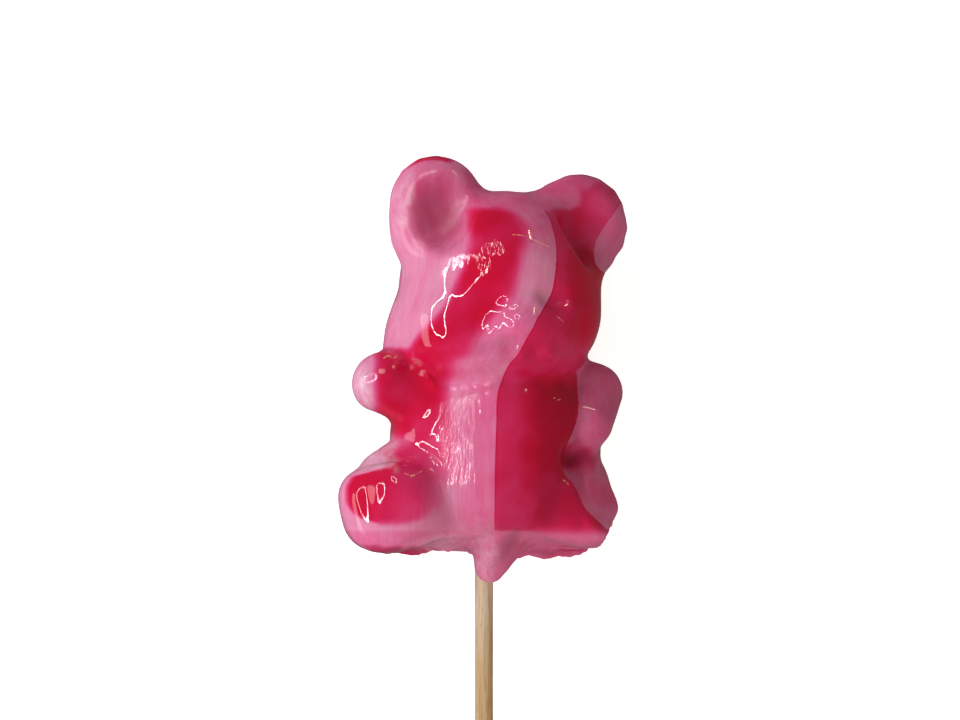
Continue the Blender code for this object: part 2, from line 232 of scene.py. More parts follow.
def sugar(p):
    """Signed distance, in mm, from the surface of the sweet (negative inside)."""
    d = join(head_form(p), body_form(p), NECK_BLEND)
    d = join(d, ellipsoid(p, *NECK_FILL, -20.0), 3.0)
    # what the mould left
    for fin in FLASH:
        d = join(d, ellipsoid(p, *fin), 0.8)
    d = carve(d, beyond(p, *BREAK), 0.5)
    for chip in CHIPS:
        d = carve(d, ellipsoid(p, *chip), 0.5)
    d = join(d, limb(p, *SPRUE), 4.2)
    return join(d, limb(p, *SPRUE_ROOT), 3.5)


def slope(p, e=0.02):
    return np.stack([sugar(p + e * axis) - sugar(p - e * axis) for axis in np.eye(3)], 1) / (2 * e)


def settle(p, steps=6, reach=0.6):
    """Move points along the slope of the form until they lie on its surface."""
    p = p.copy()
    for _ in range(steps):
        g = slope(p)
        step = sugar(p) / np.maximum((g * g).sum(1), 0.05)
        p -= np.clip(step, -reach, reach)[:, None] * g
    return p


# ---------------------------------------------------------------- small helpers
def smooth(x):
    x = np.clip(x, 0.0, 1.0)
    return x * x * (3.0 - 2.0 * x)


def waves(p, length, count, seed, stretch=(1.0, 1.0, 1.0)):
    """Soft random swell of about unit height and the given wavelength in mm."""
    rng = np.random.default_rng(seed)
    q = p / np.asarray(stretch, float)
    out = np.zeros(len(p))
    for _ in range(count):
        k = rng.normal(size=3)
        k *= 2 * pi / length * rng.uniform(0.75, 1.3) / np.linalg.norm(k)
        out += np.cos(q @ k + rng.uniform(0, 2 * pi))
    return out * sqrt(2.0 / count)


def curve(points, t):
    """Smooth line across the bear: its s at height t, from (t, s) pairs."""
    pts = np.array(sorted(points), float)
    x, y = pts[:, 0], pts[:, 1]
    m = np.gradient(y, x)
    t = np.clip(t, x[0], x[-1])
    i = np.clip(np.searchsorted(x, t) - 1, 0, len(x) - 2)
    h = x[i + 1] - x[i]
    u = (t - x[i]) / h
    return ((1 + 2 * u) * (1 - u) ** 2 * y[i] + u * (1 - u) ** 2 * h * m[i]
            + u * u * (3 - 2 * u) * y[i + 1] - u * u * (1 - u) * h * m[i + 1])


def to_object(p):
    return (np.asarray(p, float) + (0.0, -SEAT_TO_ORIGIN, SEAM_HEIGHT)) * MM


def to_bear(p):
    return np.asarray(p, float) / MM - (0.0, -SEAT_TO_ORIGIN, SEAM_HEIGHT)


# ---------------------------------------------------------------- camera
VIEW_YAW = radians(15.0)
VIEW_DISTANCE = 400.0
RIGHT = np.array([cos(VIEW_YAW), 0.0, sin(VIEW_YAW)])
UP = np.array([0.0, 1.0, 0.0])
BACKWARD = np.array([-sin(VIEW_YAW), 0.0, cos(VIEW_YAW)])
TARGET = -0.65 * RIGHT + np.array([0.0, 31.0, 0.0])

camera_data = bpy.data.cameras.new("camera")
camera_data.lens = 91.95
camera_data.sensor_width = 36.0
camera_data.clip_start = 0.02
camera_data.clip_end = 20.0
camera = bpy.data.objects.new("camera", camera_data)
bpy.context.scene.collection.objects.link(camera)
turn = Matrix([[RIGHT[i], UP[i], BACKWARD[i]] for i in range(3)]).to_4x4()
camera.matrix_world = Matrix.Translation(Vector(to_object(TARGET + VIEW_DISTANCE * BACKWARD))) @ turn
bpy.context.scene.camera = camera


# ---------------------------------------------------------------- relief of the sugar skin
def facing(p):
    """Across and up the front of the bear, in mm, in the slanting plane the stripes are laid in."""
    q = p - (TARGET + VIEW_DISTANCE * BACKWARD)
    depth = -(q @ BACKWARD)
    s = VIEW_DISTANCE * (q @ RIGHT) / depth - 0.65
    t = VIEW_DISTANCE * (q @ UP) / depth + 31.0
    return s, t


# the crisp edge between the pink band and the clear crimson side, (height, across)
FOLD = ((3.8, 1.7), (14.0, 1.8), (20.2, 2.0), (26.6, 2.5), (30.3, 4.1), (33.2, 6.2), (34.5, 6.9),
        (36.1, 7.9), (38.0, 8.8), (39.3, 9.6), (41.8, 10.9), (45.2, 11.6), (50.1, 11.7),
        (52.2, 11.2), (54.5, 10.4), (55.8, 9.5), (57.0, 8.6))


# soft swellings and dips of the skin: across, up, height, half-length up, half-width, lean
SWELLS = ((6.0, 32.2, 0.85, 1.6, 1.6, 0), (10.3, 32.3, 0.80, 1.4, 1.5, 0),     # lips
          (14.0, 39.6, 0.50, 1.6, 1.6, 0),                                    # far cheek
          (-19.2, 8.6, -0.40, 4.0, 1.5, 5), (-18.4, 8.8, 0.22, 3.0, 7.0, 0),  # sole
          (-4.4, 15.5, 0.35, 8.0, 4.5, 0),                                    # belly
          (-12.2, 23.5, -1.05, 2.9, 4.0, 0),                                  # under one arm
          (-20.3, 27.0, 0.50, 4.0, 1.6, 0))                                   # paw
# a roll of sugar in the crease under the chin, (across, height)
COLLAR = ((-11.9, 30.9), (-9.8, 28.4), (-8.2, 27.5), (-6.7, 26.6), (-4.7, 26.4), (-2.6, 26.4),
          (-0.3, 26.5), (1.6, 26.9), (6.0, 26.7))


def relief(p, n):
    """Height of the skin over the smooth form, in mm."""
    s, t = facing(p)
    front = smooth((p[:, 2] + 1.0) / 4.0)
    h = 0.030 * waves(p, 9.0, 14, 3) + 0.007 * waves(p, 3.4, 16, 5)
    for cs, ct, height, tall, wide, lean in SWELLS:
        a = radians(lean)
        x, y = (s - cs) * cos(a) + (t - ct) * sin(a), -(s - cs) * sin(a) + (t - ct) * cos(a)
        h += height * np.exp(-(x / wide) ** 2 - (y / tall) ** 2) * front
    plump = smooth((-5.5 - s) / 3.0)
    roll = (0.55 + 0.45 * plump) * np.exp(-((t - curve(COLLAR, s)) / (1.05 + 0.45 * plump)) ** 2)
    h += roll * smooth((s + 12.6) / 1.5) * smooth((5.0 - s) / 4.0) * front * (0.9 + 0.25 * waves(p, 2.0, 8, 7))
    # streaks where the syrup ran down the mould
    across = s - curve(FOLD, t)
    flow = waves(np.stack([across, t / 9.0, p[:, 2]], 1), 1.5, 18, 11)
    flow *= 0.5 + 0.5 * waves(np.stack([across / 2, t / 2, p[:, 2] / 2], 1), 6.0, 8, 12)
    h += 0.007 * flow * front
    # parting line of the mould
    seam = p[:, 2] - 0.15 * waves(p, 7.0, 8, 21)
    h += 0.16 * np.exp(-(seam / 0.28) ** 2) * (0.75 + 0.35 * waves(p, 2.6, 10, 22))
    # ragged fins under the seat
    fins = np.exp(-(p[:, 2] / 1.1) ** 2) * smooth((2.0 - t) / 1.6) * smooth((t + 3.2) / 1.2)
    h += fins * (0.13 * waves(p, 3.0, 14, 31, (1.3, 1.0, 0.7)) + 0.06 * waves(p, 1.2, 12, 32))
    # splintered corner of one foot
    torn = smooth(1.0 - np.abs(beyond(p, *BREAK)) / 1.1) * smooth((6.0 - t) / 1.5) * smooth((s - 17.0) / 2.0)
    h -= torn * (0.30 * np.abs(waves(p, 1.6, 12, 35)) - 0.10)
    return h


# ---------------------------------------------------------------- sugar mesh
def seed_ball(bm, centre, radii, roll=0.0, splay=0.0):
    axes = Matrix([list(row) for row in turned(roll, splay)]).to_4x4()
    size = Matrix.Diagonal((radii[0] * MM, radii[1] * MM, radii[2] * MM, 1.0))
    place = Matrix.Translation(Vector(to_object(centre)))
    bmesh.ops.create_icosphere(bm, subdivisions=3, radius=1.0, matrix=place @ axes @ size)


def seed_limb(bm, start, end, radii, balls=5):
    for i in range(balls):
        u = i / (balls - 1)
        r = radii[0] + (radii[1] - radii[0]) * u
        seed_ball(bm, [a + (b - a) * u for a, b in zip(start, end)], (r, r, r))


def get_points(mesh):
    co = np.empty(len(mesh.vertices) * 3)
    mesh.vertices.foreach_get("co", co)
    return to_bear(co.reshape(-1, 3))


def set_points(mesh, p):
    mesh.vertices.foreach_set("co", to_object(p).ravel())
    mesh.update()


bm = bmesh.new()
for centre, radii in (CRANIUM, FOREHEAD, NAPE, *CHEEKS, JAW, MUZZLE, NOSE):
    seed_ball(bm, centre, radii, HEAD_LEAN)
for centre, radii, bowl, bowl_radii, splay, roll in EARS:
    seed_ball(bm, centre, radii, roll, splay)
for centre, radii in (TORSO, BELLY, BACK, SEAT, SHOULDERS):
    seed_ball(bm, centre, radii, BODY_LEAN)
for centre, radii in (EAR_ROOT, CROTCH):
    seed_ball(bm, centre, radii)
seed_ball(bm, *NECK_FILL, -20.0)
for start, end, radii in (*ARMS, *THIGHS, SPRUE, SPRUE_ROOT):
    seed_limb(bm, start, end, radii)
for centre, radii, square, crown, roll, blend in FEET:
    seed_ball(bm, centre, radii, roll)
for centre, radii in FLASH:
    seed_ball(bm, centre, radii)
seeds = bpy.data.meshes.new("bear")
bm.to_mesh(seeds)
bm.free()
bear = bpy.data.objects.new("sugar_bear", seeds)
bpy.context.scene.collection.objects.link(bear)
for voxel, steps in ((1.2, 8), (0.6, 5), (VOXEL, 4)):
    fuse = bear.modifiers.new("fuse", "REMESH")
    fuse.mode = "VOXEL"
    fuse.voxel_size = voxel * MM
    bpy.context.view_layer.update()
    fused = bpy.data.meshes.new_from_object(bear.evaluated_get(bpy.context.evaluated_depsgraph_get()))
    bear.modifiers.clear()
    old, bear.data = bear.data, fused
    bpy.data.meshes.remove(old)
    set_points(bear.data, settle(get_points(bear.data), steps))



def soften(mesh, p, mask, rounds):
    """Melt the form where the mask says so."""
    e = np.empty(2 * len(mesh.edges), np.int32)
    mesh.edges.foreach_get("vertices", e)
    e = e.reshape(-1, 2)
    e = e[(mask[e] > 0).any(1)]
    i, j = np.concatenate([e[:, 0], e[:, 1]]), np.concatenate([e[:, 1], e[:, 0]])
    count = np.maximum(np.bincount(i, minlength=len(p)), 1)
    for _ in range(rounds):
        mean = np.stack([np.bincount(i, p[j, k], len(p)) for k in range(3)], 1) / count[:, None]
        p = np.where((mask > 0)[:, None], p + 0.5 * mask[:, None] * (mean - p), p)
    return p


skin = get_points(bear.data)
normal = slope(skin)
normal /= np.linalg.norm(normal, axis=1)[:, None] + 1e-9
lift = relief(skin, normal)
across_skin, up_skin = facing(skin)
# the foot runs into the belly without a sharp crease
gentle = np.hypot((across_skin + 10.4) / 4.8, (up_skin - 12.2) / 3.8)
gentle = (1 - smooth((gentle - 0.5) / 0.5)) * smooth(skin[:, 2] / 2.0)
shape = soften(bear.data, skin, gentle, 140) + lift[:, None] * normal
shape[:, 2] = np.maximum(shape[:, 2], -SEAM_HEIGHT)      # the small flats it lies on
set_points(bear.data, shape)
bear.data.shade_smooth()
print("sugar triangles", 2 * len(bear.data.polygons))


# ---------------------------------------------------------------- marbling
def band(x, edge, soft):
    """0 below the edge, 1 above it, over a soft width."""
    return smooth((x - edge) / soft + 0.5)


def patch(s, t, left, right, bottom, top, soft):
    """A stain between two lines across and two heights; soft is its edge (left, right, bottom, top)."""
    a = curve(left, t) if isinstance(left, tuple) else left
    b = curve(right, t) if isinstance(right, tuple) else right
    return (band(s, a, soft[0]) * (1 - band(s, b, soft[1]))
            * band(t, bottom, soft[2]) * (1 - band(t, top, soft[3])))


def blot(s, t, centre, radii, soft=0.5, roll=0.0):
    a = radians(roll)
    x, y = s - centre[0], t - centre[1]
    q = np.hypot((x * cos(a) + y * sin(a)) / radii[0], (-x * sin(a) + y * cos(a)) / radii[1])
    return 1 - smooth((q - 1 + soft) / (2 * soft))


def stain(milk, mask, level):
    return milk + (level - milk) * mask


FACE_LEFT = ((27.0, -13.0), (33.8, -11.1), (35.9, -9.6), (37.8, -7.8), (40.0, -5.9), (42.4, -4.7),
             (45.7, -3.3), (48.9, -2.3), (51.7, -2.1), (54.6, -2.4), (56.3, -2.9))
FACE_RIGHT = ((27.5, -4.4), (30.2, -3.9), (32.8, -2.6), (34.1, -1.8), (35.8, -0.7), (38.2, 0.9),
              (39.8, 2.5), (41.4, 3.8), (43.1, 4.7), (45.8, 5.2), (48.0, 6.0), (50.1, 6.4),
              (52.6, 6.2), (54.2, 5.2), (55.8, 3.6))
ARM_LEG = ((3.0, 20.3), (4.5, 18.8), (6.9, 16.4), (8.5, 15.7), (10.7, 14.6), (12.5, 13.1),
           (13.7, 12.9), (16.2, 13.1), (18.2, 14.0), (21.2, 15.1), (27.0, 15.2), (30.0, 15.1),
           (36.0, 15.0))
EAR_PATCH = ((44.0, 21.5), (46.0, 18.6), (48.0, 17.9), (50.1, 18.2), (52.3, 19.3), (54.5, 20.9), (56.0, 22.0),
             (57.5, 23.4), (62.0, 27.0))


SOLE_LEFT = ((4.3, -17.2), (5.2, -19.8), (6.6, -21.5), (9.0, -22.2), (11.0, -21.8), (12.3, -20.4),
             (12.9, -18.0), (13.6, -15.6), (15.5, -13.9), (17.0, -13.2))
SOLE_RIGHT = ((4.3, -12.2), (5.4, -10.4), (7.5, -9.6), (10.0, -9.7), (13.0, -9.8), (17.0, -10.4))


# painted glints: hair-fine golden lines drawn into the sugar's colour where a warm reflection would catch, each
# (across, height)
PAINTED_GLINTS = (((4.7, 51.5), (6.4, 51.3), (8.3, 50.5), (11.0, 49.3)),
          ((-12.9, 12.8), (-12.1, 12.4), (-11.2, 12.5), (-10.1, 13.0)),
          ((-16.4, 31.3), (-15.6, 31.7), (-14.9, 31.3), (-14.1, 31.6)),
          ((11.9, 38.1), (12.4, 37.7), (12.9, 37.2)),
          ((11.4, 24.9), (11.9, 24.5), (12.5, 24.6)),
          ((12.9, 11.5), (13.4, 11.1), (13.9, 10.6)))


def painted_glint(s, t):
    """Height in mm over the nearest of the drawn lines, and how far past its ends."""
    near, over, past = (np.full(len(s), 9.0) for _ in range(3))
    for line in PAINTED_GLINTS:
        rise = t - curve(line, s)
        end = np.maximum(line[0][0] - s, s - line[-1][0])
        away = np.hypot(rise, np.maximum(end, 0.0))
        closer = away < near
        near, over, past = (np.where(closer, a, b) for a, b in ((away, near), (rise, over), (end, past)))
    return dict(painted_glint=over, painted_glint_past=past)


def marbling(p):
    """Milkiness of the sugar (0 clear crimson, 1 milky pink) on each side of its crisp edges,
    and the distances to those edges in mm."""
    s, t = facing(p)
    behind = smooth((-p[:, 2] - 0.5) / 5.0)
    s = s + behind * 2.2 * waves(p, 13.0, 8, 41)
    t = t + behind * 1.5 * waves(p, 15.0, 8, 42)
    s0 = s + 0.25 * waves(p, 4.0, 10, 43)
    t0 = t + 0.25 * waves(p, 4.0, 10, 44)

    # left of the fold: milky pink with crimson stains
    a = 0.95 - 0.12 * band(s, -3.0, 6.0)
    a = stain(a, blot(s0, t0, (-8.2, 55.8), (4.3, 5.6), 0.75, 8), 0.66)
    crescent = np.hypot((s + 8.3) / 7.9, (t - 55.9) / 8.4)
    a = stain(a, band(crescent, 0.93, 0.08) * band(t - 0.55 * s, 66.4, 1.5) * band(t, 58.5, 3.0), 0.12)
    rim = patch(s0, t0, -3.0, 30.0, 55.8, 80.0, (1.5, 1.0, 1.0, 1.0))
    a = stain(a, rim, 0.80)
    a = stain(a, patch(s, t, FACE_LEFT, FACE_RIGHT, 28.6, 55.4, (2.4, 3.8, 2.6, 1.8)),
              0.10 + 0.13 * waves(p, 8.0, 8, 46))
    a = stain(a, blot(s0, t0, (-6.6, 31.2), (4.6, 2.6), 0.6), 0.30)
    a = stain(a, blot(s0, t0, (-1.2, 29.6), (4.6, 2.6), 0.6), 0.90)
    a = stain(a, patch(s0, t0, 6.0, 14.0, 38.0, 49.0, (3.5, 1.0, 6.0, 7.0)), 0.95)
    # arm, chest and thigh
    a = stain(a, patch(s, t, -17.4, -6.4, 19.2, 32.6, (2.2, 3.6, 1.6, 1.6)),
              0.12 + 0.07 * waves(p, 7.0, 8, 47))
    a = stain(a, patch(s, t, -15.6, -8.4, 12.5, 20.0, (2.0, 4.0, 3.5, 2.5)), 0.30)
    a = stain(a, blot(s, t, (-12.2, 19.0), (4.6, 2.2), 0.5, -22), 0.05)
    a = stain(a, patch(s, t, -14.5, -8.0, 6.0, 15.5, (3.0, 4.5, 4.0, 3.0)), 0.62)
    a = stain(a, blot(s0, t0, (-14.2, 17.4), (3.0, 2.0), 0.7), 0.70)
    a = stain(a, blot(s0, t0, (-7.4, 17.0), (2.6, 5.0), 0.8), 0.66)
    a = stain(a, blot(s0, t0, (-10.2, 19.8), (1.5, 1.6), 0.8), 0.40)
    # foot
    sole = patch(s, t, SOLE_LEFT, SOLE_RIGHT, 4.4, 16.0, (1.3, 3.4, 1.6, 3.0))
    a = stain(a, sole, 0.08 + 0.38 * smooth((s + 19.5) / 8.0) + 0.10 * smooth((9.0 - t) / 5.0))
    seat = patch(s0, t, -30.0, 30.0, -8.0, 3.1, (1.0, 1.0, 1.0, 0.7))
    a = stain(a, seat, 0.86)

    under = patch(s0, t0 + 0.04 * s0, -19.5, -7.0, -6.0, -0.15, (3.0, 3.0, 1.0, 0.8))
    a = stain(a, under, 0.60)

    # right of the fold: clear magenta-crimson
    b = np.full(len(p), 0.39)
    b = stain(b, patch(s0, t0, 14.2, 40.0, 34.0, 50.5, (3.2, 1.0, 3.0, 2.0)), 0.0)
    b = stain(b, patch(s0, t0, 6.8, 16.0, 5.5, 28.5, (3.6, 1.0, 4.0, 1.5)), 0.0)
    b = stain(b, patch(s0, t0, 1.0, 9.5, 2.0, 9.0, (1.0, 4.5, 1.0, 6.0)), 0.48)
    b = stain(b, patch(s0, t0, 8.5, 30.0, 0.0, 12.5, (4.5, 1.0, 1.0, 2.5)), 0.24)
    b = stain(b, band(s0, 10.0, 1.5) * band(t0, 49.0, 3.0), 0.50)
    b = stain(b, blot(s0, t0, (13.8, 53.5), (2.6, 3.4), 0.6, -30), 0.30)
    b = stain(b, patch(s0, t0, 8.0, 15.4, 55.6, 70.0, (1.0, 1.6, 1.2, 1.0)), 0.80)
    b = stain(b, band(t0 - 0.15 * s0, 56.9, 1.6), 0.74)
    b = stain(b, blot(s0, t0, (20.6, 57.0), (2.4, 3.6), 0.7), 0.62)
    b = stain(b, smooth((3.2 - t) / (0.6 + 1.8 * smooth((s - 7.0) / 3.0)) + 0.5), 0.84)
    b = stain(b, band(-t0 - 0.10 * s0, -1.5, 0.9) * band(s0, 3.6, 1.2), 0.80)
    # dark slivers in the fins under the seat
    sliver = smooth(waves(p, 3.2, 10, 45, (2.6, 0.5, 1.0)) - 1.0) * band(-t, -0.6, 0.8) * np.exp(-(p[:, 2] / 1.5) ** 2)
    a, b = stain(a, sliver * 0.7, 0.35), stain(b, sliver * 0.7, 0.35)

    # the dusty pink arm, leg and ear edge
    c = 0.80 - 0.08 * smooth((13.5 - t) / 4.0) + 0.14 * smooth((9.0 - t) / 3.0) + 0.04 * smooth((t - 40.0) / 4.0)
    c = stain(c, blot(s0, t0, (15.0, 14.8), (2.7, 1.9), 0.7), 0.34)

    # distances to the crisp edges
    across = s - curve(FOLD, t)
    tilt = (curve(FOLD, t + 0.2) - curve(FOLD, t - 0.2)) / 0.4
    fold = across / np.sqrt(1 + tilt ** 2)
    head, body = head_form(p), body_form(p)
    arm = s - curve(ARM_LEG, t)
    tilt = (curve(ARM_LEG, t + 0.2) - curve(ARM_LEG, t - 0.2)) / 0.4
    arm = arm / np.sqrt(1 + tilt ** 2)
    arm = np.minimum(arm, np.minimum((head - body) * 0.8, (t - 3.4) * 1.0))
    ear = s - curve(EAR_PATCH, t)
    tilt = (curve(EAR_PATCH, t + 0.2) - curve(EAR_PATCH, t - 0.2)) / 0.4
    ear = np.minimum(ear / np.sqrt(1 + tilt ** 2), (t - 43.0))
    dusty = np.maximum(arm, ear)
    # painted shade: the sugar is darkened where shade falls, in the ear bowl, the hollow between arm and leg, the
    # mouth, beside the drip, under the seat and down the far side of the belly, arm, leg and ear; the dark slivers in
    # the fins are darkened too
    painted_shade_and_slivers = 0.70 * blot(s0, t0, (-7.7, 55.3), (3.7, 5.2), 0.7, 8)
    painted_shade_and_slivers = np.maximum(painted_shade_and_slivers, 0.95 * blot(s0, t0, (14.9, 15.0), (2.6, 2.2), 0.9))
    painted_shade_and_slivers = np.maximum(painted_shade_and_slivers, 0.55 * patch(s0, t0, 8.0, 16.0, 4.0, 27.0, (3.0, 1.0, 4.0, 2.0)))
    painted_shade_and_slivers = np.maximum(painted_shade_and_slivers, 0.7 * sliver)
    painted_shade_and_slivers = np.maximum(painted_shade_and_slivers, 0.75 * blot(s0, t0, (3.6, 0.4), (1.4, 3.6), 0.9, -32))
    painted_shade_and_slivers = np.maximum(painted_shade_and_slivers, 0.32 * patch(s0, t0, 5.0, 30.0, -4.0, 1.3, (3.0, 1.0, 1.0, 1.6)))
    painted_shade_and_slivers = np.maximum(painted_shade_and_slivers, 0.60 * under)
    painted_shade_and_slivers = np.maximum(painted_shade_and_slivers, 0.25 * patch(s0, t0, 1.6, 12.0, 3.4, 28.0, (0.6, 3.0, 0.8, 3.0)) * (fold > 0))
    painted_shade_and_slivers = np.maximum(painted_shade_and_slivers, 0.40 * blot(s0, t0, (3.6, 33.0), (2.8, 2.0), 0.9))
    painted_shade_and_slivers = np.maximum(painted_shade_and_slivers, 0.32 * patch(s0, t0, 15.0, 40.0, 12.0, 27.0, (3.0, 1.0, 3.0, 6.0)))
    painted_shade_and_slivers = np.maximum(painted_shade_and_slivers, 0.35 * blot(s0, t0, (18.4, 49.6), (3.4, 4.2), 0.8))
    # painted sheen: pale lilac patches on the paw, the ear rim, the top of the foot, low on the seat and on the drip,
    # where the lamps' soft reflection would lie
    painted_sheen = 0.75 * blot(s0, t0, (-19.6, 26.6), (1.3, 3.0), 0.7, 12)
    painted_sheen = np.maximum(painted_sheen, 0.55 * blot(s0, t0, (-12.9, 56.8), (1.2, 4.6), 0.7, -10))
    painted_sheen = np.maximum(painted_sheen, 0.60 * patch(s0, t0, -22.0, -14.4, 13.2, 18.4, (1.0, 1.6, 0.8, 1.4)))
    painted_sheen = np.maximum(painted_sheen, 0.35 * blot(s0, t0, (-7.2, 1.2), (3.4, 1.6), 0.9, 10))
    painted_sheen = np.maximum(painted_sheen, 0.45 * blot(s0, t0, (0.0, -1.4), (1.9, 4.2), 0.9))
    return dict(milk_left=a, milk_right=b, milk_dusty=c, fold=fold, dusty=dusty,
                across=across, along=t, depth=p[:, 2], painted_shade_and_slivers=painted_shade_and_slivers, painted_sheen=painted_sheen, **painted_glint(s, t))


def store(mesh, name, values):
    layer = mesh.attributes.new(name, "FLOAT", "POINT")
    layer.data.foreach_set("value", np.asarray(values, np.float32))


for name, values in marbling(skin).items():
    store(bear.data, name, values)

s, t = facing(skin)
sparkle = (patch(s, t, -6.8, -1.2, 6.5, 24.5, (1.2, 0.8, 4.0, 2.0))
           + 0.4 * patch(s, t, -2.5, 3.5, 45.0, 54.0, (1.5, 2.0, 3.0, 2.0))) * smooth(skin[:, 2] / 3.0)
store(bear.data, "sparkle", np.clip(sparkle, 0, 1))
store(bear.data, "matte", np.exp(-((s + 8.4) / 5.6) ** 2 - ((t - 55.0) / 6.4) ** 2))


# ---------------------------------------------------------------- node helpers
class Nodes:
    """Short forms for the nodes a finish is wired from."""

    def __init__(self, name):
        self.material = bpy.data.materials.new(name)
        self.material.use_nodes = True
        self.tree = self.material.node_tree
        self.bsdf = self.tree.nodes["Principled BSDF"]

    def new(self, kind, **settings):
        n = self.tree.nodes.new(kind)
        for key, value in settings.items():
            setattr(n, key, value)
        return n

    def link(self, source, target):
        self.tree.links.new(source, target)

    def put(self, value, socket):
        if isinstance(value, bpy.types.NodeSocket):
            self.link(value, socket)
        else:
            socket.default_value = value

    def attribute(self, name):
        return self.new("ShaderNodeAttribute", attribute_name=name).outputs["Fac"]

    def math(self, operation, a, b=0.0, c=0.0, clamp=False):
        n = self.new("ShaderNodeMath", operation=operation, use_clamp=clamp)
        for value, socket in zip((a, b, c), n.inputs):
            self.put(value, socket)
        return n.outputs[0]

    def vector(self, x, y, z):
        n = self.new("ShaderNodeCombineXYZ")
        for value, socket in zip((x, y, z), n.inputs):
            self.put(value, socket)
        return n.outputs[0]

    def noise(self, vector, scale, detail=2.0, rough=0.5, distortion=0.0):
        n = self.new("ShaderNodeTexNoise")
        self.link(vector, n.inputs["Vector"])
        for key, value in (("Scale", scale), ("Detail", detail), ("Roughness", rough), ("Distortion", distortion)):
            n.inputs[key].default_value = value
        return n.outputs["Fac"]

    def mix(self, fac, a, b):
        n = self.new("ShaderNodeMix", data_type="FLOAT")
        self.put(fac, n.inputs["Factor"])
        self.put(a, n.inputs["A"])
        self.put(b, n.inputs["B"])
        return n.outputs["Result"]

    def blend(self, fac, a, b, blend_type="MIX"):
        n = self.new("ShaderNodeMix", data_type="RGBA", blend_type=blend_type)
        self.put(fac, n.inputs["Factor"])
        for value, key in ((a, "A"), (b, "B")):
            socket = [i for i in n.inputs if i.name == key and i.type == "RGBA"][0]
            self.put(value, socket)
        return [o for o in n.outputs if o.type == "RGBA"][0]

    def step(self, value, low, high):
        n = self.new("ShaderNodeMapRange", interpolation_type="SMOOTHSTEP")
        self.put(value, n.inputs["Value"])
        n.inputs["From Min"].default_value = low
        n.inputs["From Max"].default_value = high
        return n.outputs["Result"]

    def ramp(self, value, stops, mode="LINEAR"):
        n = self.new("ShaderNodeValToRGB")
        n.color_ramp.interpolation = mode
        elements = n.color_ramp.elements
        while len(elements) < len(stops):
            elements.new(0.5)
        for element, (at, colour) in zip(elements, stops):
            element.position = at
            element.color = (*colour, 1.0)
        self.put(value, n.inputs["Fac"])
        return n.outputs["Color"]


# ---------------------------------------------------------------- boiled sugar
CRIMSON = np.array([0.66, 0.0035, 0.043])
PINK = np.array([0.84, 0.335, 0.52])

m = Nodes("marbled_sugar")
across, along, depth = m.attribute("across"), m.attribute("along"), m.attribute("depth")
fold, dusty = m.attribute("fold"), m.attribute("dusty")
drawn = m.vector(across, m.math("MULTIPLY", along, 0.07), depth)          # stretched along the flow
plain = m.vector(across, along, depth)
streak = m.math("SUBTRACT", m.noise(drawn, 0.9, 4.0, 0.6), 0.5)
fine_streak = m.math("SUBTRACT", m.noise(drawn, 3.2, 3.0, 0.6), 0.5)
cloud = m.math("SUBTRACT", m.noise(plain, 0.22, 3.0, 0.55), 0.5)
wobble = m.math("MULTIPLY", m.math("SUBTRACT", m.noise(plain, 1.6, 2.0), 0.5), 0.25)

left = m.attribute("milk_left")
mixed = m.math("MULTIPLY", left, m.math("SUBTRACT", 1.25, left))          # most where half mixed
left = m.math("MULTIPLY_ADD", streak, m.math("MULTIPLY_ADD", mixed, 0.45, 0.05), left)
left = m.math("MULTIPLY_ADD", fine_streak, m.math("MULTIPLY_ADD", mixed, 0.20, 0.03), left)
right = m.math("MULTIPLY_ADD", streak, 0.10, m.attribute("milk_right"))
right = m.math("MULTIPLY_ADD", fine_streak, 0.04, right)
rosy = m.math("MULTIPLY_ADD", streak, 0.16, m.attribute("milk_dusty"))
rosy = m.math("MULTIPLY_ADD", fine_streak, 0.06, rosy)
# a thin clear line follows the fold
hem = m.math("MULTIPLY", m.step(fold, -0.02, 0.06), m.math("SUBTRACT", 1.0, m.step(fold, 0.10, 0.38)))
hem = m.math("MULTIPLY", hem, m.step(along, 3.2, 4.6))
hem = m.math("MULTIPLY", hem, m.math("SUBTRACT", 1.0, m.step(along, 46.0, 54.0)))
right = m.math("MULTIPLY_ADD", hem, -0.22, right)
milk = m.mix(m.step(m.math("ADD", fold, m.math("MULTIPLY", wobble, 0.5)), -0.07, 0.07), left, right)
milk = m.mix(m.step(m.math("ADD", dusty, wobble), -0.10, 0.10), milk, rosy)
clear = m.math("SUBTRACT", 1.0, milk, clamp=True)
milk = m.math("MULTIPLY_ADD", cloud, m.math("MULTIPLY_ADD", clear, 0.45, 0.12), milk, clamp=True)
STOPS = 9
sugar_colour = m.ramp(milk, [(i / (STOPS - 1), tuple(CRIMSON * (PINK / CRIMSON) ** (i / (STOPS - 1))))
                             for i in range(STOPS)])
# painted shade: the colour is multiplied darker where painted_shade_and_slivers says so
sugar_colour = m.blend(m.attribute("painted_shade_and_slivers"), sugar_colour,
                       m.blend(1.0, sugar_colour, (0.50, 0.62, 0.50, 1.0), "MULTIPLY"))
# painted sheen: pale lilac mixed into the colour, broken up by noise
patchy = m.step(m.noise(m.vector(across, m.math("MULTIPLY", along, 0.5), depth), 1.1, 4.0, 0.65), 0.20, 0.75)
sugar_colour = m.blend(m.math("MULTIPLY", m.attribute("painted_sheen"), patchy), sugar_colour, (0.90, 0.68, 0.82, 1.0))
